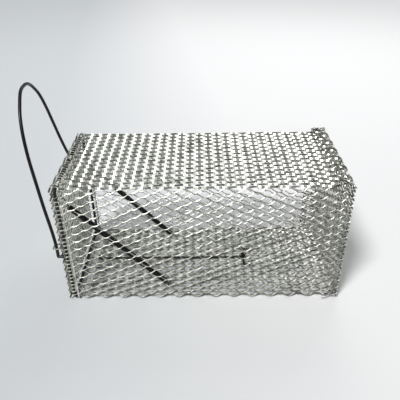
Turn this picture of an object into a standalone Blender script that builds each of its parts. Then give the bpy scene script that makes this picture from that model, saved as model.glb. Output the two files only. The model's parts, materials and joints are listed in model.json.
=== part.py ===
"""Live catch trap: an expanded-metal cage with a sprung, top-hung door and a tripping lever.

The frame: +X runs from the door to the closed end, +Y to the back, +Z up.
The origin is the centre of the floor's underside. Lengths are in metres.
"""
import math

import bmesh
import bpy
from mathutils import Vector

# Overall sizes
BODY_LENGTH = 0.280
BODY_WIDTH = 0.129
BODY_HEIGHT = 0.1366

# Expanded metal: pitch of the diamonds, strand and sheet
DIAMOND_LENGTH = 0.036
DIAMOND_HEIGHT = 0.022
STRAND_WIDTH = 0.0016
SHEET = 0.0026
BORDER = 0.0022
SMALLEST_HOLE = 0.1
FLANGE_WIDTH = 0.017

# Clearances
GAP = 0.0003
DOOR_GAP = 0.0017

# Wires
FRAME_WIRE = 0.003
FRAME_CORNER = 0.004
HANDLE_WIRE = 0.0032
ROD_WIRE = 0.0018
BAIT_WIRE = 0.0018
STAPLE_WIRE = 0.002
HOOK_WIRE = 0.0009
TIE_WIRE = 0.0012

# Hinge clips, curled from strip round the entrance frame's top wire
CLIP_STRIP = 0.0009
CLIP_WIDTH = 0.009
CLIP_TAIL = 0.013
CLIP_SPACING = 0.0535

# Door and its setting handle
DOOR_CUT = 0.0004
DOOR_CLEAR_OF_GROUND = 0.0008
DOOR_RISE = 0.0004
HANDLE_FOOT_DROP = 0.0751
HANDLE_FOOT_TURN = 0.0052
HANDLE_LENGTH = 0.154
HANDLE_LEAN = 0.0255
HANDLE_SWAY = 0.0045

# Springs
SPRING_SPACING = 0.090
SPRING_OUTER = 0.006
SPRING_ANCHOR = 0.099
ANCHOR_TIP = 0.86
SPRING_ANCHOR_HEIGHT = 0.0045
SPRING_DROP = 0.0212
SPRING_LOWER_HOOK = 0.003
SPRING_UPPER_HOOK = 0.014
HOOK_TURN = 0.003

# Trigger
PIVOT_DISTANCE = 0.184
STAPLE_WIDTH = 0.029
STAPLE_FOOT = 0.008
ROD_HOOK_SWEEP = 150
BAIT_ARM_ANGLE = 51
BAIT_ARM_LENGTH = 0.073
BAIT_TAIL = 0.014

# Derived places
MOUTH_X = -BODY_LENGTH / 2
END_X = BODY_LENGTH / 2
HALF_WIDTH = BODY_WIDTH / 2
HINGE_Z = BODY_HEIGHT - FRAME_WIRE / 2
CLIP_INNER = FRAME_WIRE / 2 + GAP
CLIP_OUTER = CLIP_INNER + CLIP_STRIP
SKIN_X = MOUTH_X + CLIP_OUTER + GAP
SKIN_END_X = END_X - SHEET - GAP
DOOR_INNER_X = MOUTH_X - FRAME_WIRE / 2 - DOOR_GAP
DOOR_OUTER_X = DOOR_INNER_X - SHEET
DOOR_HALF_WIDTH = HALF_WIDTH - DOOR_CUT / 2
DOOR_TOP = BODY_HEIGHT + DOOR_RISE
HANDLE_X = DOOR_OUTER_X - GAP - HANDLE_WIRE / 2
HANDLE_FOOT_Y = HALF_WIDTH + HANDLE_WIRE / 2 + GAP + DOOR_CUT / 4
HANDLE_TOP_X = HANDLE_X - HANDLE_LEAN
HANDLE_FOOT_HEIGHT = HINGE_Z - HANDLE_FOOT_DROP
HANDLE_TOP_Z = HANDLE_FOOT_HEIGHT + math.sqrt(HANDLE_LENGTH**2 - HANDLE_LEAN**2)
SPRING_TOP_X = (DOOR_INNER_X + DOOR_OUTER_X) / 2
SPRING_TOP_Z = HINGE_Z - SPRING_DROP + FRAME_WIRE / 2
# The springs hook the strand at the inner tip of the nearest floor diamond
ANCHOR_DIAMOND = round((MOUTH_X + SPRING_ANCHOR) / DIAMOND_LENGTH - ANCHOR_TIP)
ANCHOR_X = (ANCHOR_DIAMOND + ANCHOR_TIP) * DIAMOND_LENGTH
PIVOT_X = MOUTH_X + PIVOT_DISTANCE
ROD_EYE = STAPLE_WIRE / 2 + GAP + ROD_WIRE / 2
BAIT_EYE = STAPLE_WIRE / 2 + GAP + BAIT_WIRE / 2
PIVOT_Z = SHEET + GAP + ROD_WIRE / 2 + ROD_EYE
TIE_HEIGHT = SPRING_TOP_Z - 2 * DIAMOND_HEIGHT

# Colours: red, green, blue, roughness, metallic
GALVANISED = (0.60, 0.61, 0.57, 0.42, 0.9)
BLACK_WIRE = (0.03, 0.028, 0.026, 0.45, 0.4)
SPRING_STEEL = (0.02, 0.02, 0.02, 0.4, 0.5)
BRIGHT_ZINC = (0.75, 0.75, 0.72, 0.3, 0.95)


def clear_scene():
    for old in list(bpy.data.objects):
        bpy.data.objects.remove(old, do_unlink=True)


def make_material(name, look):
    red, green, blue, roughness, metallic = look
    material = bpy.data.materials.new(name)
    material.use_nodes = True
    shader = material.node_tree.nodes["Principled BSDF"]
    shader.inputs["Base Color"].default_value = (red, green, blue, 1)
    shader.inputs["Roughness"].default_value = roughness
    shader.inputs["Metallic"].default_value = metallic
    return material


def place(obj, material=None, parent=None):
    """Link the object, give it its material and hang it on its joint's empty."""
    bpy.context.collection.objects.link(obj)
    if material:
        obj.data.materials.append(material)
    if parent:
        obj.parent = parent
        obj.location = Vector(obj.location) - parent.location
    return obj


def make_axis(name, location):
    empty = bpy.data.objects.new(name, None)
    empty.location = location
    return place(empty)


def mesh_from_prisms(name, outlines, depth):
    """One mesh of upright prisms, centred on z = 0, from outlines in the XY plane."""
    shape = bmesh.new()
    for outline in outlines:
        low = [shape.verts.new((u, v, -depth / 2)) for u, v in outline]
        base = shape.faces.new(low)
        lifted = bmesh.ops.extrude_face_region(shape, geom=[base])["geom"]
        top = [item for item in lifted if isinstance(item, bmesh.types.BMVert)]
        bmesh.ops.translate(shape, verts=top, vec=(0, 0, depth))
    bmesh.ops.recalc_face_normals(shape, faces=shape.faces)
    mesh = bpy.data.meshes.new(name)
    shape.to_mesh(mesh)
    shape.free()
    return mesh


def clip_outline(outline, axis, limit, keep_below):
    """The part of a convex outline on one side of a line."""
    side = 1 if keep_below else -1
    kept = []
    for here, ahead in zip(outline, outline[1:] + outline[:1]):
        inside = side * (limit - here[axis])
        inside_ahead = side * (limit - ahead[axis])
        if inside >= 0:
            kept.append(here)
        if inside * inside_ahead < 0:
            share = inside / (inside - inside_ahead)
            kept.append(tuple(a + (b - a) * share for a, b in zip(here, ahead)))
    return kept


def outline_area(outline):
    pairs = zip(outline, outline[1:] + outline[:1])
    return abs(sum(a[0] * b[1] - b[0] * a[1] for a, b in pairs)) / 2


def diamond_holes(width, height, centre):
    """Outlines of the sheet's diamonds, one of them centred at `centre`, inside its border."""
    half_length = DIAMOND_LENGTH / 2
    half_height = DIAMOND_HEIGHT / 2
    reach = half_length * half_height / math.hypot(half_length, half_height)
    open_share = 1 - STRAND_WIDTH / 2 / reach
    hole_u = half_length * open_share
    hole_v = half_height * open_share
    smallest = SMALLEST_HOLE * 2 * hole_u * hole_v
    columns = math.ceil(width / half_length) + 2
    rows = math.ceil(height / half_height) + 2
    holes = []
    for column in range(-columns, columns + 1):
        for row in range(-rows, rows + 1):
            if (column + row) % 2:
                continue
            u = centre[0] + column * half_length
            v = centre[1] + row * half_height
            outline = [(u + hole_u, v), (u, v + hole_v), (u - hole_u, v), (u, v - hole_v)]
            for axis, size in enumerate((width, height)):
                edge = size / 2 - BORDER
                outline = clip_outline(outline, axis, edge, True)
                outline = clip_outline(outline, axis, -edge, False)
            if len(outline) > 2 and outline_area(outline) > smallest:
                holes.append(outline)
    return holes


def mesh_panel(name, size, location, rotation, centre, parent=None):
    """A flat panel of expanded metal: a plate with its diamonds cut out."""
    width, height = size
    plate = [(-width / 2, -height / 2), (width / 2, -height / 2)]
    plate += [(width / 2, height / 2), (-width / 2, height / 2)]
    panel = bpy.data.objects.new(name, mesh_from_prisms(name, [plate], SHEET))
    holes = mesh_from_prisms(name + "_holes", diamond_holes(width, height, centre), 3 * SHEET)
    cutter = bpy.data.objects.new(name + "_holes", holes)
    for obj in (panel, cutter):
        obj.location = location
        obj.rotation_euler = [math.radians(angle) for angle in rotation]
    cutter.hide_render = True
    cutter.display_type = "WIRE"
    place(panel, GALVANISED_METAL, parent)
    place(cutter, None, parent)
    cut = panel.modifiers.new("diamonds", "BOOLEAN")
    cut.operation = "DIFFERENCE"
    cut.object = cutter
    return panel


def wire(name, points, diameter, material, parent=None, closed=False, radii=None, sides=2):
    """A round wire along the points, which are places in the trap's frame."""
    curve = bpy.data.curves.new(name, "CURVE")
    curve.dimensions = "3D"
    curve.bevel_depth = diameter / 2
    curve.bevel_resolution = sides
    curve.use_fill_caps = True
    spline = curve.splines.new("POLY")
    spline.points.add(len(points) - 1)
    origin = parent.location if parent else Vector()
    for index, (knot, point) in enumerate(zip(spline.points, points)):
        knot.co = (*(Vector(point) - origin), 1)
        knot.radius = radii[index] if radii else 1
    spline.use_cyclic_u = closed
    spline.use_smooth = True
    obj = bpy.data.objects.new(name, curve)
    bpy.context.collection.objects.link(obj)
    curve.materials.append(material)
    obj.parent = parent
    return obj


def rounded(corners, radius, steps=4, closed=False):
    """The path through the corners with each one turned to an arc of the radius."""
    corners = [Vector(corner) for corner in corners]
    count = len(corners)
    path = []
    for index, corner in enumerate(corners):
        if not closed and index in (0, count - 1):
            path.append(corner)
            continue
        back = (corners[index - 1] - corner).normalized()
        ahead = (corners[(index + 1) % count] - corner).normalized()
        half_angle = back.angle(ahead) / 2
        centre = corner + (back + ahead).normalized() * radius / math.sin(half_angle)
        start = (corner + back * radius / math.tan(half_angle) - centre).normalized()
        end = (corner + ahead * radius / math.tan(half_angle) - centre).normalized()
        path += [centre + radius * start.slerp(end, step / steps) for step in range(steps + 1)]
    return path


def smooth_through(points, steps):
    """A Catmull-Rom curve through the points."""
    points = [Vector(point) for point in points]
    padded = [2 * points[0] - points[1]] + points + [2 * points[-1] - points[-2]]
    path = [points[0]]
    for before, start, end, after in zip(padded, padded[1:], padded[2:], padded[3:]):
        for step in range(1, steps + 1):
            t = step / steps
            bend = 2 * before - 5 * start + 4 * end - after
            twist = 3 * start - before - 3 * end + after
            path.append((2 * start + (end - before) * t + bend * t**2 + twist * t**3) / 2)
    return path


def turned_in_xz(point, pivot, angle):
    """The point turned about the pivot's Y line, a positive angle lifting -X towards +Z."""
    u = point[0] - pivot[0]
    w = point[1] - pivot[1]
    cosine = math.cos(angle)
    sine = math.sin(angle)
    return (pivot[0] + u * cosine + w * sine, pivot[1] - u * sine + w * cosine)


def door_opening():
    """The door's full swing: it ends with the handle's top lying on the roof."""
    out = MOUTH_X - HANDLE_TOP_X
    up = HANDLE_TOP_Z - HINGE_Z
    rest = BODY_HEIGHT - HINGE_Z + GAP + HANDLE_WIRE / 2
    return math.atan2(out, up) + math.acos(rest / math.hypot(out, up))


def set_position():
    """The handle's top when the door is fully open, and the rod's lift that hooks it."""
    top = turned_in_xz((HANDLE_TOP_X, HANDLE_TOP_Z), (MOUTH_X, HINGE_Z), door_opening())
    away = math.hypot(PIVOT_X - top[0], top[1] - PIVOT_Z)
    beside = hook_radius() - ROD_EYE
    lift = math.atan2(top[1] - PIVOT_Z, PIVOT_X - top[0]) - math.asin(beside / away)
    return top, away, lift


def hook_radius():
    return (HANDLE_WIRE + ROD_WIRE) / 2 + GAP


def make_skin():
    """The wrap-round sheet's four walls."""
    length = SKIN_END_X - SKIN_X
    middle = (SKIN_END_X + SKIN_X) / 2
    inner_height = BODY_HEIGHT - 2 * SHEET - 2 * GAP
    side_y = HALF_WIDTH - SHEET / 2
    slot_x = set_position()[0][0] - middle
    flat = (length, BODY_WIDTH)
    upright = (length, inner_height)
    mesh_panel("floor_mesh", flat, (middle, 0, SHEET / 2), (0, 0, 0),
               (DIAMOND_LENGTH / 2 - middle, 0))
    mesh_panel("roof_mesh", flat, (middle, 0, BODY_HEIGHT - SHEET / 2), (0, 0, 0), (slot_x, 0))
    mesh_panel("front_mesh", upright, (middle, -side_y, BODY_HEIGHT / 2), (90, 0, 0), (0, 0))
    mesh_panel("back_mesh", upright, (middle, side_y, BODY_HEIGHT / 2), (90, 0, 0), (0, 0))


def make_end():
    """The closed end, and its edges turned back over the roof and the two sides."""
    over = GAP + SHEET
    side_height = BODY_HEIGHT - 2 * over
    flange_length = SKIN_END_X - (END_X - FLANGE_WIDTH)
    flange_x = SKIN_END_X - flange_length / 2
    side_y = HALF_WIDTH + over - SHEET / 2
    mesh_panel("end_mesh", (BODY_WIDTH + 2 * over, BODY_HEIGHT + over),
               (END_X - SHEET / 2, 0, (BODY_HEIGHT + over) / 2), (90, 0, 90), (0, 0))
    mesh_panel("end_flange_top", (flange_length, BODY_WIDTH),
               (flange_x, 0, BODY_HEIGHT + over - SHEET / 2), (0, 0, 0), (0, 0))
    for name, y in (("end_flange_front", -side_y), ("end_flange_back", side_y)):
        mesh_panel(name, (flange_length, side_height), (flange_x, y, BODY_HEIGHT / 2),
                   (90, 0, 0), (0, 0))


def make_entrance_frame():
    y = HALF_WIDTH - FRAME_WIRE / 2
    low = FRAME_WIRE / 2
    corners = [(MOUTH_X, -y, low), (MOUTH_X, y, low), (MOUTH_X, y, HINGE_Z), (MOUTH_X, -y, HINGE_Z)]
    path = rounded(corners, FRAME_CORNER, closed=True)
    wire("entrance_frame", path, FRAME_WIRE, BLACK_PAINT, closed=True)


def make_door(axis):
    height = DOOR_TOP - DOOR_CLEAR_OF_GROUND
    middle_z = (DOOR_TOP + DOOR_CLEAR_OF_GROUND) / 2
    location = ((DOOR_INNER_X + DOOR_OUTER_X) / 2, 0, middle_z)
    centre = (DIAMOND_LENGTH / 2, SPRING_TOP_Z - middle_z)
    mesh_panel("door_mesh", (2 * DOOR_HALF_WIDTH, height), location, (90, 0, 90), centre, axis)


def handle_path():
    """Up one side, over the top and down the other, leaning away from the door."""
    rise = HANDLE_TOP_Z - HANDLE_FOOT_HEIGHT
    # Shares of the rise, the lean, the foot's distance from the middle and the sway
    shape = [
        (0.0, 0.0, 1.0, 0.0), (0.08, 0.01, 0.985, 0.0), (0.18, 0.12, 0.92, -0.04),
        (0.34, 0.32, 0.82, -0.25), (0.50, 0.49, 0.73, -0.4), (0.65, 0.645, 0.66, -0.25),
        (0.78, 0.78, 0.575, 0.2), (0.88, 0.88, 0.46, 0.65), (0.95, 0.95, 0.305, 0.95),
        (0.985, 0.985, 0.19, 1.0), (0.9985, 0.9985, 0.085, 1.0),
    ]
    legs = []
    for side in (-1, 1):
        legs.append([
            Vector((HANDLE_X - HANDLE_LEAN * lean,
                    side * HANDLE_FOOT_Y * out + HANDLE_SWAY * sway,
                    HANDLE_FOOT_HEIGHT + rise * up))
            for up, lean, out, sway in shape
        ])
    front, back = legs
    top = (HANDLE_TOP_X, HANDLE_SWAY, HANDLE_TOP_Z)
    curve = smooth_through(front + [top] + back[::-1], 4)
    turn = Vector((HANDLE_FOOT_TURN, 0, 0))
    return [curve[0] + turn] + curve + [curve[-1] + turn]


def make_handle(axis):
    wire("door_handle", handle_path(), HANDLE_WIRE, BLACK_PAINT, axis)


def make_handle_ties(axis):
    """A turn of wire at each side, round the handle's leg and the door's edge."""
    half = TIE_WIRE / 2
    x_out = HANDLE_X - HANDLE_WIRE / 2 - 2 * GAP - half
    x_in = DOOR_INNER_X + GAP + half
    y_in = DOOR_HALF_WIDTH - BORDER - GAP - half
    y_out = HANDLE_FOOT_Y + HANDLE_WIRE / 2 + GAP + half
    for name, side in (("handle_tie_front", -1), ("handle_tie_back", 1)):
        corners = [(x_out, side * y_in), (x_out, side * y_out), (x_in, side * y_out),
                   (x_in, side * y_in)]
        path = rounded([(x, y, TIE_HEIGHT) for x, y in corners], GAP + half, 3, True)
        wire(name, path, TIE_WIRE, ZINC_WIRE, axis, closed=True, sides=1)


def make_hinge_clips(axis):
    """Strips curled round the entrance frame's top wire, their tails on the door."""
    sweep = [math.radians(angle) for angle in range(180, -115, -20)]
    outer = [(CLIP_OUTER * math.cos(a), CLIP_OUTER * math.sin(a)) for a in sweep]
    inner = [(CLIP_INNER * math.cos(a), CLIP_INNER * math.sin(a)) for a in reversed(sweep)]
    outline = [(-CLIP_OUTER, -CLIP_TAIL)] + outer + inner + [(-CLIP_INNER, -CLIP_TAIL)]
    for name, place_y in (("front", -CLIP_SPACING), ("middle", 0), ("back", CLIP_SPACING)):
        clip = bpy.data.objects.new("hinge_clip_" + name,
                                    mesh_from_prisms("hinge_clip", [outline], CLIP_WIDTH))
        clip.rotation_euler = (math.radians(90), 0, 0)
        clip.location = (MOUTH_X, place_y, HINGE_Z)
        place(clip, ZINC_WIRE, axis)
        clip.data.shade_smooth()
        clip.data.set_sharp_from_angle(angle=math.radians(40))


def spring_line():
    """The spring's two ends in the XZ plane and the unit step from floor to door."""
    low = Vector((ANCHOR_X, 0, SPRING_ANCHOR_HEIGHT))
    high = Vector((SPRING_TOP_X, 0, SPRING_TOP_Z))
    return low, high, (high - low).normalized()


def make_spring(name, y, slide_axis):
    """The coil with its floor hook, and the hook that draws on the door."""
    low, high, along = spring_line()
    thick = SPRING_OUTER / HOOK_WIRE
    coil_end = high - along * SPRING_UPPER_HOOK
    start = low + along * SPRING_LOWER_HOOK
    shoulder = along * SPRING_OUTER / 3
    line = [
        ((ANCHOR_X, 0, SHEET / 3), 1),
        ((ANCHOR_X, 0, SPRING_ANCHOR_HEIGHT * 0.7), 1),
        (start, 1),
        (start + shoulder, thick),
        (coil_end - shoulder, thick),
        (coil_end, 1.5),
    ]
    across = Vector((0, y, 0))
    points = [Vector(point) + across for point, thickness in line]
    radii = [thickness for point, thickness in line]
    wire(name, points, HOOK_WIRE, SPRING_WIRE, radii=radii, sides=4)
    outside_x = DOOR_OUTER_X - GAP - HOOK_WIRE / 2
    corners = [
        coil_end + along * (GAP + HOOK_WIRE / 2),
        (DOOR_INNER_X + SPRING_UPPER_HOOK / 3, 0, SPRING_TOP_Z),
        (outside_x, 0, SPRING_TOP_Z),
        (outside_x, 0, SPRING_TOP_Z - HOOK_TURN),
    ]
    path = [point + across for point in rounded(corners, HOOK_WIRE, 3)]
    wire(name + "_hook", path, HOOK_WIRE, SPRING_WIRE, slide_axis, sides=1)


def make_trigger_staple():
    half = STAPLE_WIDTH / 2
    floor_z = SHEET + GAP + STAPLE_WIRE / 2
    foot_x = PIVOT_X + STAPLE_FOOT
    corners = [
        (foot_x, -half, floor_z),
        (PIVOT_X, -half, floor_z),
        (PIVOT_X, -half, PIVOT_Z),
        (PIVOT_X, half, PIVOT_Z),
        (PIVOT_X, half, floor_z),
        (foot_x, half, floor_z),
    ]
    path = rounded(corners, (PIVOT_Z - floor_z) / 2.2, 3)
    wire("trigger_staple", path, STAPLE_WIRE, BLACK_PAINT)


def eye_turns(radius, start, end, y_start, y_end):
    """A coil round the pivot from one angle to another, counted from +X towards +Z."""
    steps = math.ceil(abs(end - start) / 24)
    turns = []
    for step in range(steps + 1):
        share = step / steps
        angle = math.radians(start + (end - start) * share)
        y = y_start + (y_end - y_start) * share
        x = PIVOT_X + radius * math.cos(angle)
        turns.append(Vector((x, y, PIVOT_Z + radius * math.sin(angle))))
    return turns


def make_latch_rod(axis):
    """From its eye on the staple along the floor to the hook that holds the handle's top."""
    top, away, lift = set_position()
    beside = hook_radius() - ROD_EYE
    reach = math.sqrt(away**2 - beside**2)
    centre_x = PIVOT_X - reach
    centre_z = PIVOT_Z - ROD_EYE + hook_radius()
    hook = []
    for step in range(9):
        angle = math.radians(-90 + ROD_HOOK_SWEEP * step / 8)
        x = centre_x - hook_radius() * math.cos(angle)
        hook.append(Vector((x, 0, centre_z + hook_radius() * math.sin(angle))))
    drift = -(ROD_WIRE + 2 * GAP)
    eye = eye_turns(ROD_EYE, -90, 250, 0, drift)
    wire("latch_rod", hook[::-1] + eye, ROD_WIRE, BLACK_PAINT, axis)


def make_bait_wire(axis):
    """A tail beside the rod, an eye on the staple, the arm and the hook for the bait."""
    y_tail = (ROD_WIRE + BAIT_WIRE) / 2 + GAP
    leave = 90 - BAIT_ARM_ANGLE
    y_arm = y_tail + (BAIT_WIRE + 2 * GAP) * (450 + leave) / 360
    eye = eye_turns(BAIT_EYE, -90, 360 + leave, y_tail, y_arm)
    tail = [eye[0] - Vector((BAIT_TAIL, 0, 0))]
    angle = math.radians(BAIT_ARM_ANGLE)
    along = Vector((-math.cos(angle), 0, math.sin(angle)))
    arm_end = eye[-1] + along * BAIT_ARM_LENGTH
    arm_end.y = 0
    steps_from_arm = [(-0.007, 0.005), (-0.015, 0.0065), (-0.023, 0.0045), (-0.027, 0),
                      (-0.025, -0.0045), (-0.020, -0.006)]
    hook = [arm_end + Vector((x, 0, z)) for x, z in steps_from_arm]
    bend_start = eye[-1].lerp(arm_end, 0.9)
    path = tail + eye + smooth_through([bend_start, arm_end] + hook, 3)
    wire("bait_wire", path, BAIT_WIRE, ZINC_WIRE, axis)


clear_scene()
GALVANISED_METAL = make_material("galvanised_mesh", GALVANISED)
BLACK_PAINT = make_material("black_wire", BLACK_WIRE)
SPRING_WIRE = make_material("spring_wire", SPRING_STEEL)
ZINC_WIRE = make_material("bright_zinc", BRIGHT_ZINC)

door_axis = make_axis("door_axis", (MOUTH_X, 0, HINGE_Z))
trigger_axis = make_axis("trigger_axis", (PIVOT_X, 0, PIVOT_Z))

make_skin()
make_end()
make_entrance_frame()
make_door(door_axis)
make_handle(door_axis)
make_handle_ties(door_axis)
make_hinge_clips(door_axis)
for spring_name, spring_y in (("spring_front", -SPRING_SPACING / 2),
                              ("spring_back", SPRING_SPACING / 2)):
    slide_axis = make_axis(spring_name + "_axis", (SPRING_TOP_X, spring_y, SPRING_TOP_Z))
    make_spring(spring_name, spring_y, slide_axis)
make_trigger_staple()
make_latch_rod(trigger_axis)
make_bait_wire(trigger_axis)
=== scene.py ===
"""Looks of a live catch trap: expanded-metal cage, sprung door, setting handle and trigger."""
import json
import math

import bpy
from mathutils import Matrix, Vector, noise


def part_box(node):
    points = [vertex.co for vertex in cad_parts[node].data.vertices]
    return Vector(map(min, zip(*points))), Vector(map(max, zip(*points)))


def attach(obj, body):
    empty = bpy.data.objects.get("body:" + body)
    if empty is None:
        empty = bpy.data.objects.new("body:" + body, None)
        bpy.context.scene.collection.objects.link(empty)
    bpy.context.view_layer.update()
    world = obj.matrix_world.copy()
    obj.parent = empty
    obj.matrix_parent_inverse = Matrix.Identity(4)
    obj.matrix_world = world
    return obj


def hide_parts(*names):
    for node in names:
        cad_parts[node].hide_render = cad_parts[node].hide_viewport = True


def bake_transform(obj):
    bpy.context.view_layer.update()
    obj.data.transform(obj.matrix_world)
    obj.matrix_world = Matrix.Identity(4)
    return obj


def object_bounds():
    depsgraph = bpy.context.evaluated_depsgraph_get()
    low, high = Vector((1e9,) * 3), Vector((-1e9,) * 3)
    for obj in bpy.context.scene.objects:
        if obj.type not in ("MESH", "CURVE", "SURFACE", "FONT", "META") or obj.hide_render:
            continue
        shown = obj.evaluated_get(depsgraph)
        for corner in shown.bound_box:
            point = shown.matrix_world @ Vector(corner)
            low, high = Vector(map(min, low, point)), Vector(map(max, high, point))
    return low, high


bl_info = {
    "name": "Live Catch Trap",
    "version": (1, 0, 0),
    "blender": (4, 5, 0),
    "location": "View3D > Sidebar > Trap",
    "description": "Builds the visible pieces of an expanded-metal live catch trap",
    "category": "Add Mesh",
}

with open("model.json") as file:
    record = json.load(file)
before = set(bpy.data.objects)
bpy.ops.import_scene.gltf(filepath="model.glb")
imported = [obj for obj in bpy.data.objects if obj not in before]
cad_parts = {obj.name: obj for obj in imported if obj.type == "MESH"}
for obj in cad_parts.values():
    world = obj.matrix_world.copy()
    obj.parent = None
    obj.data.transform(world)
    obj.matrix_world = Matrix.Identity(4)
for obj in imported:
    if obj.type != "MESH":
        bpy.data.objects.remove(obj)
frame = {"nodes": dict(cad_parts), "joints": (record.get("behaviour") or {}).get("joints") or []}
CAD_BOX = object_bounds()

MM = 0.001
# Fixes the waves that handling left, which the clock would otherwise choose
HANDLING_SEED = 7


def box_of(*nodes):
    """The lowest and highest corner of several CAD nodes together."""
    corners = [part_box(node) for node in nodes]
    low = Vector([min(pair[0][axis] for pair in corners) for axis in range(3)])
    high = Vector([max(pair[1][axis] for pair in corners) for axis in range(3)])
    return low, high


SKIN_LOW, SKIN_HIGH = box_of("floor_mesh", "roof_mesh", "front_mesh", "back_mesh")
END_HIGH = box_of("end_mesh", "end_flange_top")[1]
DOOR_LOW, DOOR_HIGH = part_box("door_mesh")
FRAME_LOW, FRAME_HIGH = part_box("entrance_frame")
JOINTS = {joint["name"]: joint for joint in frame["joints"]}
PIVOT = Vector(JOINTS["trigger_pivot"]["pos_m"])
# Clearance between neighbouring pieces
GAP = 0.3 * MM
# Where the roof's row of diamonds is set for the latch rod
ROD_SLOT_X = -49.5 * MM
# Edges sharper than this stay crisp
CREASE = math.radians(50)
# A strand's climb over one diamond: shares of its length and of half its height
CLIMB = ((0.3, 0.42), (0.4, 1.16), (0.3, 0.42))
# How much of each spring's line is the hook at the floor and at the door
FLOOR_HOOK = 3 * MM
DOOR_HOOK = 14 * MM
BAIT_ARM_ANGLE = 51
BAIT_ARM_LENGTH = 73 * MM


class TrapSizes(bpy.types.PropertyGroup):
    """Sizes of the stock that the trap is made from."""

    diamond_length: bpy.props.FloatProperty(
        name="Diamond length", description="Long pitch of the expanded metal",
        default=19.6 * MM, unit="LENGTH")
    diamond_height: bpy.props.FloatProperty(
        name="Diamond height", description="Short pitch of the expanded metal",
        default=9.3 * MM, unit="LENGTH")
    strand_width: bpy.props.FloatProperty(
        name="Strand width", description="Width of one strand",
        default=1.75 * MM, unit="LENGTH")
    sheet_gauge: bpy.props.FloatProperty(
        name="Sheet gauge", description="Thickness of the sheet before it was slit",
        default=0.75 * MM, unit="LENGTH")
    strand_tilt: bpy.props.FloatProperty(
        name="Strand tilt", description="Turn of a strand out of the sheet's plane",
        default=math.radians(50), subtype="ANGLE")
    bond_length: bpy.props.FloatProperty(
        name="Bond length", description="Length over which two strands stay joined",
        default=2.2 * MM, unit="LENGTH")
    unevenness: bpy.props.FloatProperty(
        name="Unevenness", description="How far handling has bent the mesh",
        default=0.45 * MM, unit="LENGTH")
    handle_wire: bpy.props.FloatProperty(
        name="Handle wire", description="Diameter of the setting handle's wire",
        default=3.2 * MM, unit="LENGTH")
    frame_wire: bpy.props.FloatProperty(
        name="Frame wire", description="Diameter of the entrance frame's wire",
        default=3.0 * MM, unit="LENGTH")
    rod_wire: bpy.props.FloatProperty(
        name="Latch rod wire", description="Diameter of the latch rod",
        default=1.8 * MM, unit="LENGTH")
    bait_wire: bpy.props.FloatProperty(
        name="Bait wire", description="Diameter of the bait wire",
        default=1.8 * MM, unit="LENGTH")
    staple_wire: bpy.props.FloatProperty(
        name="Staple wire", description="Diameter of the trigger's staple",
        default=2.0 * MM, unit="LENGTH")
    spring_wire: bpy.props.FloatProperty(
        name="Spring wire", description="Diameter of the spring wire",
        default=0.9 * MM, unit="LENGTH")
    spring_outer: bpy.props.FloatProperty(
        name="Spring diameter", description="Outer diameter of the coils",
        default=6.0 * MM, unit="LENGTH")


class TrapFinishes(bpy.types.PropertyGroup):
    """Colours, as sRGB hex values."""

    zinc_light: bpy.props.StringProperty(
        name="Zinc, light", description="Clean hot-dip zinc", default="#ECEDE4")
    zinc_dark: bpy.props.StringProperty(
        name="Zinc, dull", description="Dulled and handled zinc", default="#8E9085")
    enamel: bpy.props.StringProperty(
        name="Handle lacquer", description="Black stoving lacquer", default="#14110F")
    enamel_worn: bpy.props.StringProperty(
        name="Worn lacquer", description="Lacquer rubbed towards the steel", default="#4A3C33")
    spring_black: bpy.props.StringProperty(
        name="Spring", description="Oil-blackened spring steel", default="#141313")
    drawn_steel: bpy.props.StringProperty(
        name="Drawn steel", description="Dark drawn wire", default="#35332F")
    bright_zinc: bpy.props.StringProperty(
        name="Bright zinc", description="Electroplated zinc wire", default="#E4E4DE")
    floor_tone: bpy.props.StringProperty(
        name="Floor", description="The studio floor", default="#F8F8F8")
    # Painted shade: this greyer tone stands for less light falling on the floor at the front left
    floor_painted_shade: bpy.props.StringProperty(
        name="Floor, greyer side", description="The studio floor at the front left",
        default="#DCE0E2")


# Shared modelling steps


def sizes():
    return bpy.context.scene.trap_sizes


def finishes():
    return bpy.context.scene.trap_finishes


def deselect_all():
    if bpy.context.object and bpy.context.object.mode != "OBJECT":
        bpy.ops.object.mode_set(mode="OBJECT")
    bpy.ops.object.select_all(action="DESELECT")


def activate(obj):
    deselect_all()
    obj.select_set(True)
    bpy.context.view_layer.objects.active = obj


def select_end_face(obj):
    """Selects the face that lies furthest along +X."""
    bpy.ops.object.mode_set(mode="OBJECT")
    furthest = max(obj.data.polygons, key=lambda face: face.center.x)
    for face in obj.data.polygons:
        face.select = face.index == furthest.index
    for edge in obj.data.edges:
        edge.select = False
    for vertex in obj.data.vertices:
        vertex.select = vertex.index in furthest.vertices
    bpy.ops.object.mode_set(mode="EDIT")
    bpy.ops.mesh.select_mode(type="FACE")


def apply_array(obj, count, step, merge):
    array = obj.modifiers.new("Array", "ARRAY")
    array.count = count
    array.use_relative_offset = False
    array.use_constant_offset = True
    array.constant_offset_displace = step
    array.use_merge_vertices = merge
    array.merge_threshold = 0.00002
    bpy.ops.object.modifier_apply(modifier=array.name)


def cut_off(x, keep_low):
    """Cuts the active mesh square across at x and closes the cut."""
    bpy.ops.object.mode_set(mode="EDIT")
    bpy.ops.mesh.select_all(action="SELECT")
    bpy.ops.mesh.bisect(plane_co=(x, 0, 0), plane_no=(1, 0, 0), use_fill=True,
                        clear_outer=keep_low, clear_inner=not keep_low, threshold=1e-7)
    bpy.ops.object.mode_set(mode="OBJECT")


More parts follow.
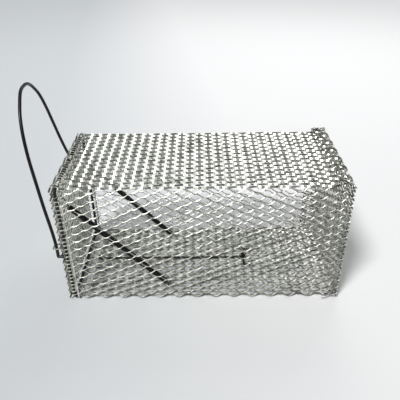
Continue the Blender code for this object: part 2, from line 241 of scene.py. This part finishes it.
def strand(length, row_height, shift):
    """One slit and stretched strand along X, weaving once up and down in each diamond."""
    size = sizes()
    pitch = size.diamond_length
    reach = size.strand_width / 2
    swing = row_height / 2 - reach * math.cos(size.strand_tilt)
    dip = reach * math.sin(size.strand_tilt)
    bond = size.bond_length / 2
    rise = pitch / 2 - 2 * bond
    start = -pitch / 4 + shift - pitch
    deselect_all()
    bpy.ops.mesh.primitive_cube_add(
        size=1, location=(start, -swing, dip), rotation=(size.strand_tilt, 0, 0),
        scale=(bond / 4, size.strand_width, size.sheet_gauge))
    obj = bpy.context.object
    bpy.ops.object.transform_apply(location=True, rotation=True, scale=True)
    end_step = bond - bond / 8
    steps = [(end_step, 0)]
    for up, level in ((1, 2 * bond), (-1, end_step)):
        steps += [(rise * along, height * up) for along, height in CLIMB] + [(level, 0)]
    select_end_face(obj)
    for along, share in steps:
        move = (along, share * swing, -share * dip)
        bpy.ops.mesh.extrude_region_move(TRANSFORM_OT_translate={"value": move})
    bpy.ops.object.mode_set(mode="OBJECT")
    drop_end_faces(obj)
    apply_array(obj, math.ceil(length / pitch) + 3, (pitch, 0, 0), True)
    cut_off(0, False)
    cut_off(length, True)
    return obj


def drop_end_faces(obj):
    """Opens the strand's two ends, so that its copies join end to end."""
    bpy.ops.object.mode_set(mode="EDIT")
    bpy.ops.mesh.select_all(action="DESELECT")
    bpy.ops.object.mode_set(mode="OBJECT")
    low = min(face.center.x for face in obj.data.polygons)
    high = max(face.center.x for face in obj.data.polygons)
    for face in obj.data.polygons:
        face.select = face.center.x < low + 1e-7 or face.center.x > high - 1e-7
    bpy.ops.object.mode_set(mode="EDIT")
    bpy.ops.mesh.delete(type="FACE")
    bpy.ops.object.mode_set(mode="OBJECT")


def expanded_sheet(name, length, height, phase, rows=None):
    """A flat piece of raised expanded metal: strands along X, rows stacked along Y."""
    size = sizes()
    count = rows or round(height / (size.diamond_height / 2))
    row_height = height / count
    pair = []
    for odd in (0, 1):
        obj = strand(length, row_height, phase + odd * size.diamond_length / 2)
        move_mesh(obj, Matrix.Translation((0, row_height * (0.5 + odd), 0)))
        activate(obj)
        apply_array(obj, (count + 1 - odd) // 2, (0, 2 * row_height, 0), False)
        pair.append(obj)
    return join(name, pair)


def move_mesh(obj, matrix):
    """Moves the mesh itself, so that the object stays at the origin."""
    obj.data.transform(matrix)
    obj.data.update()


def join(name, objects):
    deselect_all()
    for obj in objects:
        obj.select_set(True)
    bpy.context.view_layer.objects.active = objects[0]
    bpy.ops.object.join()
    joined = bpy.context.object
    joined.name = name
    joined.data.name = name
    return joined


def frame_matrix(origin, along, up, out):
    """Puts a sheet's X, Y and Z along three directions, from its corner."""
    matrix = Matrix((along, up, out)).transposed().to_4x4()
    matrix.translation = origin
    return matrix


def bend_by_handling(obj, amount):
    """Slow waves over the whole mesh, the same at the same place on every piece."""
    noise.seed_set(HANDLING_SEED)
    floor_z = CAD_BOX[0][2]
    end_x = CAD_BOX[1][0]
    for vertex in obj.data.vertices:
        wave = noise.noise_vector(vertex.co * 28) * 0.65
        ripple = noise.noise_vector(vertex.co * 95 + Vector((7, 3, 5))) * 0.35
        moved = vertex.co + (wave + ripple) * amount
        vertex.co = (min(moved.x, end_x), moved.y, max(moved.z, floor_z))
    obj.data.update()


def tidy_normals(obj, merge=1e-6):
    activate(obj)
    bpy.ops.object.mode_set(mode="EDIT")
    bpy.ops.mesh.select_all(action="SELECT")
    bpy.ops.mesh.remove_doubles(threshold=merge)
    bpy.ops.mesh.normals_make_consistent(inside=False)
    bpy.ops.object.mode_set(mode="OBJECT")


def drawn_wire(name, path, diameter, closed=False, sides=12, radii=None):
    """A round wire along a path, turned to a mesh."""
    deselect_all()
    bpy.ops.curve.primitive_nurbs_path_add(location=(0, 0, 0))
    obj = bpy.context.object
    obj.name = name
    curve = obj.data
    curve.splines.clear()
    spline = curve.splines.new("POLY")
    spline.points.add(len(path) - 1)
    for index, (knot, point) in enumerate(zip(spline.points, path)):
        knot.co = (*point, 1)
        knot.radius = radii[index] if radii else 1
    spline.use_cyclic_u = closed
    spline.use_smooth = True
    curve.bevel_depth = diameter / 2
    curve.bevel_resolution = (sides - 4) // 2
    curve.use_fill_caps = True
    bpy.ops.object.convert(target="MESH")
    wire = bpy.context.object
    tidy_normals(wire)
    bpy.ops.object.shade_smooth_by_angle(angle=CREASE)
    return wire


def rounded(corners, radius, steps=8, closed=False):
    """The path through the corners with each one turned to an arc."""
    corners = [Vector(corner) for corner in corners]
    count = len(corners)
    path = []
    for index, corner in enumerate(corners):
        if not closed and index in (0, count - 1):
            path.append(corner)
            continue
        back = (corners[index - 1] - corner).normalized()
        ahead = (corners[(index + 1) % count] - corner).normalized()
        half_angle = back.angle(ahead) / 2
        centre = corner + (back + ahead).normalized() * radius / math.sin(half_angle)
        start = (corner + back * radius / math.tan(half_angle) - centre).normalized()
        end = (corner + ahead * radius / math.tan(half_angle) - centre).normalized()
        path += [centre + radius * start.slerp(end, step / steps) for step in range(steps + 1)]
    return path


def smooth_through(points, steps):
    """A Catmull-Rom curve through the points."""
    points = [Vector(point) for point in points]
    padded = [2 * points[0] - points[1]] + points + [2 * points[-1] - points[-2]]
    path = [points[0]]
    for before, start, end, after in zip(padded, padded[1:], padded[2:], padded[3:]):
        for step in range(1, steps + 1):
            t = step / steps
            bend = 2 * before - 5 * start + 4 * end - after
            twist = 3 * start - before - 3 * end + after
            path.append((2 * start + (end - before) * t + bend * t**2 + twist * t**3) / 2)
    return path


# Materials


def linear(hex_colour):
    """sRGB hex to the linear colour that the shader takes."""
    channels = [int(hex_colour[i:i + 2], 16) / 255 for i in (1, 3, 5)]
    turned = [c / 12.92 if c <= 0.04045 else ((c + 0.055) / 1.055) ** 2.4 for c in channels]
    return (*turned, 1)


def add_node(material, kind, settings=None, values=None, links=None):
    """Adds a shader node, with its settings, its input values and what feeds its inputs."""
    tree = material.node_tree
    node = tree.nodes.new(kind)
    for key, value in (settings or {}).items():
        setattr(node, key, value)
    for key, value in (values or {}).items():
        node.inputs[key].default_value = value
    for key, source in (links or {}).items():
        tree.links.new(source, node.inputs[key])
    return node


def new_material(name):
    material = bpy.data.materials.new(name)
    material.use_nodes = True
    return material, material.node_tree.nodes["Principled BSDF"]


def feed(material, shader, socket, source):
    material.node_tree.links.new(source, shader.inputs[socket])


def two_tone(material, factor, low, high, stops=(0.35, 0.65)):
    """A ramp from one colour to another."""
    ramp = add_node(material, "ShaderNodeValToRGB", links={"Fac": factor})
    ramp.color_ramp.elements[0].position = stops[0]
    ramp.color_ramp.elements[1].position = stops[1]
    ramp.color_ramp.elements[0].color = low
    ramp.color_ramp.elements[1].color = high
    return ramp.outputs["Color"]


def spread(material, factor, low, high):
    """Turns a pattern from 0 to 1 into a value between two others."""
    node = add_node(material, "ShaderNodeMapRange", values={"To Min": low, "To Max": high},
                    links={"Value": factor})
    return node.outputs["Result"]


def hot_dip_zinc(name):
    """Hot-dip galvanised sheet: pale spangles, duller where it was handled, softly shiny."""
    material, shader = new_material(name)
    # Spangles and clouds of handling at their real size, and a grain coarse enough to show
    where = add_node(material, "ShaderNodeTexCoord").outputs["Object"]
    spangle = add_node(material, "ShaderNodeTexVoronoi", values={"Scale": 1 / (3.5 * MM)},
                       links={"Vector": where})
    cloud = add_node(material, "ShaderNodeTexNoise",
                     values={"Scale": 1 / (22 * MM), "Detail": 4.0}, links={"Vector": where})
    grain = add_node(material, "ShaderNodeTexNoise",
                     values={"Scale": 1 / (0.9 * MM), "Detail": 3.0}, links={"Vector": where})
    facets = add_node(material, "ShaderNodeSeparateColor",
                      links={"Color": spangle.outputs["Color"]}).outputs["Red"]
    mixed = add_node(material, "ShaderNodeMath", {"operation": "MULTIPLY_ADD"},
                     {1: 0.6}, {0: facets, 2: cloud.outputs["Fac"]}).outputs["Value"]
    tone = two_tone(material, mixed, linear(finishes().zinc_dark),
                    linear(finishes().zinc_light), (0.45, 1.0))
    # Painted shade: the colour is darkened where strands lie close together and less light reaches
    crevice_shade = add_node(material, "ShaderNodeAmbientOcclusion", {"samples": 6},
                      {"Distance": 5 * MM}, {"Color": tone})
    shade_depth = add_node(material, "ShaderNodeMapRange",
                     values={"From Min": 0.28, "From Max": 0.90, "To Min": 0.14},
                     links={"Value": crevice_shade.outputs["AO"]}).outputs["Result"]
    shaded = add_node(material, "ShaderNodeVectorMath", {"operation": "SCALE"},
                      links={"Vector": tone, "Scale": shade_depth}).outputs["Vector"]
    feed(material, shader, "Base Color", shaded)
    feed(material, shader, "Roughness", spread(material, grain.outputs["Fac"], 0.24, 0.50))
    shader.inputs["Metallic"].default_value = 0.85
    bump = add_node(material, "ShaderNodeBump", values={"Strength": 0.35, "Distance": 0.15 * MM},
                    links={"Height": grain.outputs["Fac"]})
    feed(material, shader, "Normal", bump.outputs["Normal"])
    return material


def coated_wire(name, base, worn, roughness, metallic, wear=(0.62, 0.8)):
    """Wire with a thin dark coat that has rubbed through in patches."""
    material, shader = new_material(name)
    where = add_node(material, "ShaderNodeTexCoord").outputs["Object"]
    patches = add_node(material, "ShaderNodeTexNoise",
                       values={"Scale": 1 / (9 * MM), "Detail": 6.0, "Roughness": 0.65},
                       links={"Vector": where})
    fine = add_node(material, "ShaderNodeTexNoise",
                    values={"Scale": 1 / (0.7 * MM), "Detail": 2.0}, links={"Vector": where})
    tone = two_tone(material, patches.outputs["Fac"], linear(base), linear(worn), wear)
    feed(material, shader, "Base Color", tone)
    low, high = roughness
    feed(material, shader, "Roughness", spread(material, fine.outputs["Fac"], low, high))
    shader.inputs["Metallic"].default_value = metallic
    bump = add_node(material, "ShaderNodeBump", values={"Strength": 0.25, "Distance": 0.08 * MM},
                    links={"Height": fine.outputs["Fac"]})
    feed(material, shader, "Normal", bump.outputs["Normal"])
    return material


def finish(obj, material, body, slot, *nodes):
    """Gives the piece its material and its body, and hides the CAD nodes that it stands for; slot
    is not used.
    """
    obj.data.materials.clear()
    obj.data.materials.append(material)
    if body:
        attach(obj, body)
    if nodes:
        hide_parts(*nodes)


def material_named(name, maker, *details):
    """The material of this name, made the first time that it is asked for."""
    return bpy.data.materials.get(name) or maker(name, *details)


def zinc():
    return material_named("hot_dip_galvanised_steel", hot_dip_zinc)


def lacquer():
    """Stove-lacquered steel wire: deep black and softly shiny, brown where hands rubbed it."""
    colours = finishes()
    return material_named("black_lacquered_wire", coated_wire,
                          colours.enamel, colours.enamel_worn, (0.28, 0.5), 0.1)


def dark_wire():
    """Drawn steel wire left bare: a dark grey metal, browned in patches."""
    colours = finishes()
    return material_named("dark_drawn_steel", coated_wire,
                          colours.drawn_steel, colours.enamel_worn, (0.3, 0.55), 0.7)


def spring_steel():
    """Spring steel blackened in oil: almost black, with a dull grey gleam."""
    colours = finishes()
    return material_named("oil_blackened_spring_steel", coated_wire,
                          colours.spring_black, colours.drawn_steel, (0.3, 0.5), 0.3)


def plated_wire():
    """Electroplated zinc on wire: bright and smooth, greyer where it has dulled."""
    colours = finishes()
    return material_named("bright_zinc_plate", coated_wire,
                          colours.bright_zinc, colours.zinc_dark, (0.18, 0.34), 0.9)


# The pieces


def sheet_inset():
    """From the raised sheet's outer face to its middle plane."""
    size = sizes()
    raised = 2 * size.strand_width * math.sin(size.strand_tilt)
    return (raised + size.sheet_gauge * math.cos(size.strand_tilt)) / 2


class TRAP_OT_skin(bpy.types.Operator):
    """Folds one sheet of expanded metal round the floor, front, roof and back"""

    bl_idname = "trap.skin"
    bl_label = "Cage Skin"

    def execute(self, context):
        inset = sheet_inset()
        low = SKIN_LOW + Vector((0, inset, inset))
        high = SKIN_HIGH - Vector((0, inset, inset))
        length = high.x - low.x
        along = Vector((1, 0, 0))
        y = Vector((0, 1, 0))
        z = Vector((0, 0, 1))
        side_rows = round((high.z - low.z) / (sizes().diamond_height / 2))
        flat_rows = round((high.y - low.y) / (sizes().diamond_height / 2))
        walls = [
            (Vector((low.x, low.y, low.z)), z, -y, high.z - low.z, side_rows),
            (Vector((low.x, low.y, high.z)), y, z, high.y - low.y, flat_rows),
            (Vector((low.x, high.y, high.z)), -z, y, high.z - low.z, side_rows),
            (Vector((low.x, high.y, low.z)), -y, -z, high.y - low.y, flat_rows),
        ]
        # One of the roof's diamonds has to lie where the latch rod's hook comes through
        pitch = sizes().diamond_length
        slot_shift = (ROD_SLOT_X - low.x - 0.75 * pitch) % pitch
        rows_so_far = 0
        sheets = []
        for corner, up, out, height, rows in walls:
            phase = slot_shift + rows_so_far % 2 * pitch / 2
            sheet = expanded_sheet("wall", length, height, phase, rows)
            move_mesh(sheet, frame_matrix(corner, along, up, out))
            sheets.append(sheet)
            rows_so_far += rows
        skin = join("cage_skin", sheets)
        bend_by_handling(skin, sizes().unevenness)
        tidy_normals(skin)
        finish(skin, zinc(), "cage", "galvanised_mesh",
               "floor_mesh", "roof_mesh", "front_mesh", "back_mesh")
        return {"FINISHED"}


class TRAP_OT_hem(bpy.types.Operator):
    """Lays the skin's straight end strand and wraps the cut ends round the entrance frame"""

    bl_idname = "trap.hem"
    bl_label = "Entrance Hem"

    def execute(self, context):
        size = sizes()
        half = size.frame_wire / 2
        inset = 1.0 * MM
        x = SKIN_LOW.x + 1.1 * MM
        low_y, high_y = SKIN_LOW.y + inset, SKIN_HIGH.y - inset
        low_z, high_z = SKIN_LOW.z + inset, SKIN_HIGH.z - inset
        corners = [(x, low_y, low_z), (x, high_y, low_z), (x, high_y, high_z), (x, low_y, high_z)]
        strand_path = rounded(corners, 2.5 * MM, closed=True)
        pieces = [drawn_wire("end_strand", strand_path, 1.9 * MM, closed=True, sides=8)]
        frame_x = (FRAME_LOW.x + FRAME_HIGH.x) / 2
        reach = half + 0.6 * MM
        curl = [(x + 0.4 * MM, 0.2 * MM)]
        for degrees in range(40, 216, 22):
            angle = math.radians(degrees)
            curl.append((frame_x + reach * math.cos(angle), reach * math.sin(angle)))
        master = drawn_wire("cut_end", [(a, 0, b) for a, b in curl], 1.15 * MM, sides=6)
        edge = half
        pitch = size.diamond_height / 2
        clips = [sum(corner.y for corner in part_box("hinge_clip_" + name)) / 2
                 for name in ("front", "middle", "back")]
        # The ends along the top keep clear of the hinge clips
        places = []
        for index in range(-13, 14):
            from_clip = min(abs(index * pitch - clip) for clip in clips)
            if from_clip > 5.4 * MM:
                places.append(((0, index * pitch, FRAME_HIGH.z - edge), 0))
        for side, turn in ((FRAME_LOW.y + edge, 90), (FRAME_HIGH.y - edge, -90)):
            places += [((0, side, (index + 0.5) * pitch), turn) for index in range(1, 28)]
        for place, turn in places:
            end = master.copy()
            end.data = master.data.copy()
            context.collection.objects.link(end)
            move_mesh(end, Matrix.Translation(place) @ Matrix.Rotation(math.radians(turn), 4, "X"))
            pieces.append(end)
        bpy.data.objects.remove(master, do_unlink=True)
        hem = join("entrance_hem", pieces)
        bend_by_handling(hem, size.unevenness / 2)
        bpy.ops.object.shade_smooth_by_angle(angle=CREASE)
        finish(hem, zinc(), "cage", "galvanised_mesh")
        return {"FINISHED"}


class TRAP_OT_end_panel(bpy.types.Operator):
    """Makes the closed end and its edges folded back over the skin"""

    bl_idname = "trap.end_panel"
    bl_label = "End Panel"

    def execute(self, context):
        inset = sheet_inset()
        along = Vector((1, 0, 0))
        y = Vector((0, 1, 0))
        z = Vector((0, 0, 1))
        wall_x = END_HIGH.x - inset
        top = END_HIGH.z - inset
        side = END_HIGH.y - inset
        flange_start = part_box("end_flange_top")[0].x
        fold = wall_x - flange_start
        rows = round(top / (sizes().diamond_height / 2))
        wall = expanded_sheet("wall", 2 * side, top, 0, rows)
        move_mesh(wall, frame_matrix(Vector((wall_x, -side, 0)), y, z, along))
        phase = rows % 2 * sizes().diamond_length / 2
        over = expanded_sheet("over", 2 * side, fold, phase)
        move_mesh(over, frame_matrix(Vector((wall_x, -side, top)), y, -along, z))
        sheets = [wall, over]
        for edge in (-1, 1):
            flank = expanded_sheet("flank", fold, top, 0, rows)
            corner = Vector((wall_x, edge * side, 0))
            move_mesh(flank, frame_matrix(corner, -along, z, edge * y))
            sheets.append(flank)
        panel = join("end_panel", sheets)
        bend_by_handling(panel, sizes().unevenness)
        tidy_normals(panel)
        finish(panel, zinc(), "cage", "galvanised_mesh",
               "end_mesh", "end_flange_top", "end_flange_front", "end_flange_back")
        return {"FINISHED"}


class TRAP_OT_corner_ends(bpy.types.Operator):
    """Curls the end panel's loose strand ends at the top corners"""

    bl_idname = "trap.corner_ends"
    bl_label = "Corner Strand Ends"

    def execute(self, context):
        top = END_HIGH.z - 0.8 * MM
        ends = []
        for side in (-1, 1):
            edge = side * (END_HIGH.y - 0.9 * MM)
            for index in range(6):
                x = END_HIGH.x - (3.4 + 2.3 * index) * MM
                drop = (3.5 + 2.5 * (index % 3)) * MM
                lean = (1.8 if index % 2 else -1.6) * MM
                path = smooth_through([
                    (x + lean, edge - side * 5.5 * MM, top - 0.6 * MM),
                    (x + lean * 0.4, edge - side * 2.2 * MM, top - 0.1 * MM),
                    (x, edge, top - 1.5 * MM),
                    (x - lean * 0.7, edge + side * 0.4 * MM, top - drop * 0.7),
                    (x - lean * 1.4, edge - side * 0.8 * MM, top - drop)], 4)
                radii = [1.15 - 0.5 * step / (len(path) - 1) for step in range(len(path))]
                ends.append(drawn_wire("strand_end", path, 1.3 * MM, sides=8, radii=radii))
        curls = join("corner_strand_ends", ends)
        bpy.ops.object.shade_smooth_by_angle(angle=CREASE)
        finish(curls, zinc(), "cage", "galvanised_mesh")
        return {"FINISHED"}


class TRAP_OT_door(bpy.types.Operator):
    """Makes the door's flat sheet, its strands cut off at the sides"""

    bl_idname = "trap.door"
    bl_label = "Door"

    def execute(self, context):
        inset = sheet_inset()
        middle_x = DOOR_HIGH.x - inset
        width = DOOR_HIGH.y - DOOR_LOW.y
        sheet = expanded_sheet("door_sheet", width, DOOR_HIGH.z - DOOR_LOW.z, 0)
        corner = Vector((middle_x, DOOR_HIGH.y, DOOR_LOW.z))
        move_mesh(sheet, frame_matrix(corner, Vector((0, -1, 0)), Vector((0, 0, 1)),
                                      Vector((-1, 0, 0))))
        bend_by_handling(sheet, sizes().unevenness)
        tidy_normals(sheet)
        finish(sheet, zinc(), "door", "galvanised_mesh", "door_mesh")
        return {"FINISHED"}


class TRAP_OT_entrance_frame(bpy.types.Operator):
    """Bends the wire rectangle round the entrance"""

    bl_idname = "trap.entrance_frame"
    bl_label = "Entrance Frame"

    def execute(self, context):
        half = sizes().frame_wire / 2
        x = (FRAME_LOW.x + FRAME_HIGH.x) / 2
        low_y, high_y = FRAME_LOW.y + half, FRAME_HIGH.y - half
        low_z, high_z = FRAME_LOW.z + half, FRAME_HIGH.z - half
        corners = [(x, low_y, low_z), (x, high_y, low_z), (x, high_y, high_z), (x, low_y, high_z)]
        path = rounded(corners, 4 * MM, closed=True)
        ring = drawn_wire("entrance_wire", path, sizes().frame_wire, closed=True)
        finish(ring, dark_wire(), "cage", "frame_wire", "entrance_frame")
        return {"FINISHED"}


def handle_path():
    """Up the front leg, over the top and down the back leg, swaying a little to the back."""
    low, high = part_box("door_handle")
    half = sizes().handle_wire / 2
    foot_y = high.y - half
    foot_z = low.z + half
    top_x = low.x + half
    rise = high.z - half - foot_z
    foot_x = DOOR_LOW.x - GAP - half
    lean = foot_x - top_x
    sway = 4.5 * MM
    # Shares of the rise, the lean, the foot's distance from the middle and the sway
    shape = [
        (0.0, 0.0, 1.0, 0.0), (0.08, 0.01, 0.985, 0.0), (0.18, 0.12, 0.92, -0.04),
        (0.34, 0.32, 0.82, -0.25), (0.50, 0.49, 0.73, -0.4), (0.65, 0.645, 0.66, -0.25),
        (0.78, 0.78, 0.575, 0.2), (0.88, 0.88, 0.46, 0.65), (0.95, 0.95, 0.305, 0.95),
        (0.985, 0.985, 0.19, 1.0), (0.9985, 0.9985, 0.085, 1.0),
    ]
    legs = []
    for side in (-1, 1):
        legs.append([Vector((foot_x - lean * away, side * foot_y * out + sway * shift,
                             foot_z + rise * up)) for up, away, out, shift in shape])
    front, back = legs
    curve = smooth_through(front + [(top_x, sway, foot_z + rise)] + back[::-1], 10)
    turn = Vector((high.x - foot_x, 0, 0))
    return [curve[0] + turn] + curve + [curve[-1] + turn]


class TRAP_OT_handle(bpy.types.Operator):
    """Bends the setting handle from black wire"""

    bl_idname = "trap.handle"
    bl_label = "Setting Handle"

    def execute(self, context):
        handle = drawn_wire("setting_handle", handle_path(), sizes().handle_wire, sides=16)
        finish(handle, lacquer(), "door", "handle_wire", "door_handle")
        return {"FINISHED"}


class TRAP_OT_springs(bpy.types.Operator):
    """Winds the two extension springs and their hooks"""

    bl_idname = "trap.springs"
    bl_label = "Springs"

    def execute(self, context):
        for side in ("front", "back"):
            self.wind(side)
        return {"FINISHED"}

    def wind(self, side):
        node = "spring_" + side
        low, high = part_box(node)
        hook_low, hook_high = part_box(node + "_hook")
        size = sizes()
        y = (low.y + high.y) / 2
        radius = (size.spring_outer - size.spring_wire) / 2
        anchor = Vector((high.x - size.spring_wire / 2, y, 4.5 * MM))
        top = Vector(((DOOR_LOW.x + DOOR_HIGH.x) / 2, y, hook_high.z - size.spring_wire / 2))
        along = (top - anchor).normalized()
        across = along.cross(Vector((0, 1, 0))).normalized()
        sideways = Vector((0, 1, 0))
        start = anchor + along * FLOOR_HOOK
        end = top - along * DOOR_HOOK
        length = (end - start).length
        turns = int(length / (size.spring_wire * 1.03))
        path = [Vector((anchor.x, y, 0.9 * MM)), Vector((anchor.x, y, 3 * MM)), start - along * MM]
        for step in range(turns * 10 + 1):
            angle = 2 * math.pi * step / 10
            ring = across * math.cos(angle) + sideways * math.sin(angle)
            path.append(start + along * length * step / (turns * 10) + ring * radius)
        coil = drawn_wire("spring_coil_" + side, path, size.spring_wire, sides=6)
        finish(coil, spring_steel(), None, "spring_wire", node)
        out_x = hook_low.x + size.spring_wire / 2
        corners = [end, (DOOR_HIGH.x + 4.6 * MM, y, top.z), (out_x, y, top.z),
                   (out_x, y, top.z - 3 * MM)]
        hook = drawn_wire("spring_hook_" + side, rounded(corners, size.spring_wire * 1.2),
                          size.spring_wire, sides=8)
        finish(hook, spring_steel(), "spring_" + side + "_end", "spring_wire", node + "_hook")
        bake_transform(coil)


class TRAP_OT_staple(bpy.types.Operator):
    """Bends the staple that the trigger turns on"""

    bl_idname = "trap.staple"
    bl_label = "Pivot Staple"

    def execute(self, context):
        low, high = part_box("trigger_staple")
        half = sizes().staple_wire / 2
        foot_z = low.z + half
        edge = high.y - half
        foot_x = high.x
        corners = [(foot_x, -edge, foot_z), (PIVOT.x, -edge, foot_z), (PIVOT.x, -edge, PIVOT.z),
                   (PIVOT.x, edge, PIVOT.z), (PIVOT.x, edge, foot_z), (foot_x, edge, foot_z)]
        path = rounded(corners, (PIVOT.z - foot_z) / 2.2)
        staple = drawn_wire("pivot_staple", path, sizes().staple_wire)
        finish(staple, dark_wire(), "cage", "trigger_wire", "trigger_staple")
        return {"FINISHED"}


def eye_turns(wire, start, end, y_start, y_end):
    """A coil of wire round the staple, from one angle to another."""
    radius = (sizes().staple_wire + wire) / 2 + GAP
    steps = math.ceil(abs(end - start) / 12)
    turns = []
    for step in range(steps + 1):
        share = step / steps
        angle = math.radians(start + (end - start) * share)
        y = y_start + (y_end - y_start) * share
        turns.append(Vector((PIVOT.x + radius * math.cos(angle), y,
                             PIVOT.z + radius * math.sin(angle))))
    return turns


class TRAP_OT_latch_rod(bpy.types.Operator):
    """Bends the latch rod, from its eye on the staple to the hook at its far end"""

    bl_idname = "trap.latch_rod"
    bl_label = "Latch Rod"

    def execute(self, context):
        size = sizes()
        far_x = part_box("latch_rod")[0].x
        hook_radius = (size.handle_wire + size.rod_wire) / 2 + GAP
        eye = eye_turns(size.rod_wire, -90, 250, 0, -(size.rod_wire + 2 * GAP))
        centre = Vector((far_x + hook_radius + size.rod_wire / 2, 0, eye[0].z + hook_radius))
        hook = []
        for step in range(17):
            angle = math.radians(-90 + 150 * step / 16)
            hook.append(centre + hook_radius * Vector((-math.cos(angle), 0, math.sin(angle))))
        rod = drawn_wire("trip_rod", hook[::-1] + eye, size.rod_wire)
        finish(rod, dark_wire(), "trigger", "trigger_wire", "latch_rod")
        return {"FINISHED"}


class TRAP_OT_bait_wire(bpy.types.Operator):
    """Bends the bait wire: a tail beside the rod, an eye, an arm and the bait's hook"""

    bl_idname = "trap.bait_wire"
    bl_label = "Bait Wire"

    def execute(self, context):
        size = sizes()
        y_tail = (size.rod_wire + size.bait_wire) / 2 + GAP
        leave = 90 - BAIT_ARM_ANGLE
        y_arm = y_tail + (size.bait_wire + 2 * GAP) * (450 + leave) / 360
        eye = eye_turns(size.bait_wire, -90, 360 + leave, y_tail, y_arm)
        tail = [eye[0] - Vector((14 * MM, 0, 0))]
        angle = math.radians(BAIT_ARM_ANGLE)
        arm_end = eye[-1] + Vector((-math.cos(angle), 0, math.sin(angle))) * BAIT_ARM_LENGTH
        arm_end.y = 0
        bends = [(-7, 5), (-15, 6.5), (-23, 4.5), (-27, 0), (-25, -4.5), (-20, -6)]
        hook = [arm_end + Vector((x * MM, 0, z * MM)) for x, z in bends]
        curve = smooth_through([eye[-1].lerp(arm_end, 0.9), arm_end] + hook, 8)
        bait = drawn_wire("bait_hook_wire", tail + eye + curve, size.bait_wire)
        finish(bait, plated_wire(), "trigger", "bait_wire", "bait_wire")
        return {"FINISHED"}


class TRAP_OT_small_parts(bpy.types.Operator):
    """Gives the hinge clips and the handle's ties their finish"""

    bl_idname = "trap.small_parts"
    bl_label = "Clips and Ties"

    def execute(self, context):
        for name, node in frame["nodes"].items():
            if name.startswith(("hinge_clip", "handle_tie")):
                for place in node.material_slots:
                    place.material = zinc()
        return {"FINISHED"}


class TRAP_OT_stage(bpy.types.Operator):
    """Lays the studio floor and sets the lights and the camera"""

    bl_idname = "trap.stage"
    bl_label = "Stage"

    def execute(self, context):
        deselect_all()
        bpy.ops.mesh.primitive_grid_add(x_subdivisions=2, y_subdivisions=2, size=8,
                                        location=(0, 1.5, -0.0004))
        bpy.ops.object.transform_apply(location=True, rotation=False, scale=False)
        floor = bpy.context.object
        floor.name = "studio_floor"
        floor.data.materials.append(self.paper())
        self.light("key_light", "SUN", (-0.46, -0.62, 1.15), 2.5)
        side = self.light("side_light", "AREA", (0.35, 1.0, 1.1), 5)
        side.size = 0.9
        world = bpy.data.worlds.new("studio_air")
        world.use_nodes = True
        world.node_tree.nodes["Background"].inputs["Color"].default_value = (0.92, 0.95, 1, 1)
        world.node_tree.nodes["Background"].inputs["Strength"].default_value = 0.16
        context.scene.world = world
        context.scene.view_settings.view_transform = "Standard"
        self.camera(context)
        return {"FINISHED"}

    def paper(self):
        """Matt background paper with painted shade: a little greyer towards the front left."""
        material, shader = new_material("matt_background_paper")
        where = add_node(material, "ShaderNodeTexCoord").outputs["Object"]
        # Painted shade: the paper runs from the greyer tone at the front left to the lighter tone
        # at the back right
        across = add_node(material, "ShaderNodeVectorMath", {"operation": "DOT_PRODUCT"},
                          {1: (1.0, 0.15, 0)}, {0: where}).outputs["Value"]
        share = add_node(material, "ShaderNodeMapRange",
                         values={"From Min": -0.22, "From Max": 0.12},
                         links={"Value": across}).outputs["Result"]
        tone = two_tone(material, share, linear(finishes().floor_painted_shade),
                        linear(finishes().floor_tone), (0.0, 1.0))
        feed(material, shader, "Base Color", tone)
        shader.inputs["Roughness"].default_value = 0.75
        return material

    def light(self, name, kind, place, power):
        bpy.ops.object.light_add(type=kind, location=place)
        lamp = bpy.context.object
        lamp.name = name
        lamp.data.energy = power
        if kind == "SUN":
            lamp.data.angle = math.radians(14)
        lamp.rotation_euler = (Vector((0, 0, 0.06)) - Vector(place)).to_track_quat(
            "-Z", "Y").to_euler()
        return lamp.data

    def camera(self, context):
        azimuth, elevation, roll = (math.radians(angle) for angle in (0.186, 32.017, -0.725))
        back = Vector((math.sin(azimuth) * math.cos(elevation),
                       -math.cos(azimuth) * math.cos(elevation), math.sin(elevation)))
        right = (-back).cross(Vector((0, 0, 1))).normalized()
        up = right.cross(-back)
        right_rolled = right * math.cos(roll) + up * math.sin(roll)
        up_rolled = up * math.cos(roll) - right * math.sin(roll)
        matrix = Matrix((right_rolled, up_rolled, back)).transposed().to_4x4()
        looked_at = Vector((-5.4, 0, 83.5)) * MM
        matrix.translation = looked_at + back * 518 * MM
        bpy.ops.object.camera_add()
        camera = bpy.context.object
        camera.name = "studio_camera"
        camera.data.sensor_width = 36
        camera.data.lens = 42.64
        camera.data.clip_start = 0.01
        camera.matrix_world = matrix
        context.scene.camera = camera


class TRAP_PT_panel(bpy.types.Panel):
    """Lists the trap's operators"""

    bl_label = "Live Catch Trap"
    bl_idname = "TRAP_PT_panel"
    bl_space_type = "VIEW_3D"
    bl_region_type = "UI"
    bl_category = "Trap"

    def draw(self, context):
        for operator in OPERATORS:
            self.layout.operator(operator.bl_idname)


OPERATORS = (TRAP_OT_skin, TRAP_OT_hem, TRAP_OT_end_panel, TRAP_OT_corner_ends,
             TRAP_OT_entrance_frame, TRAP_OT_door, TRAP_OT_handle, TRAP_OT_springs,
             TRAP_OT_staple, TRAP_OT_latch_rod, TRAP_OT_bait_wire,
             TRAP_OT_small_parts, TRAP_OT_stage)
GROUPS = (TrapSizes, TrapFinishes)


def register():
    for cls in GROUPS + OPERATORS + (TRAP_PT_panel,):
        bpy.utils.register_class(cls)
    bpy.types.Scene.trap_sizes = bpy.props.PointerProperty(type=TrapSizes)
    bpy.types.Scene.trap_finishes = bpy.props.PointerProperty(type=TrapFinishes)


def unregister():
    del bpy.types.Scene.trap_sizes
    del bpy.types.Scene.trap_finishes
    for cls in reversed(GROUPS + OPERATORS + (TRAP_PT_panel,)):
        bpy.utils.unregister_class(cls)


def main():
    register()
    for operator in OPERATORS:
        group, name = operator.bl_idname.split(".")
        getattr(getattr(bpy.ops, group), name)()


if __name__ == "__main__":
    main()
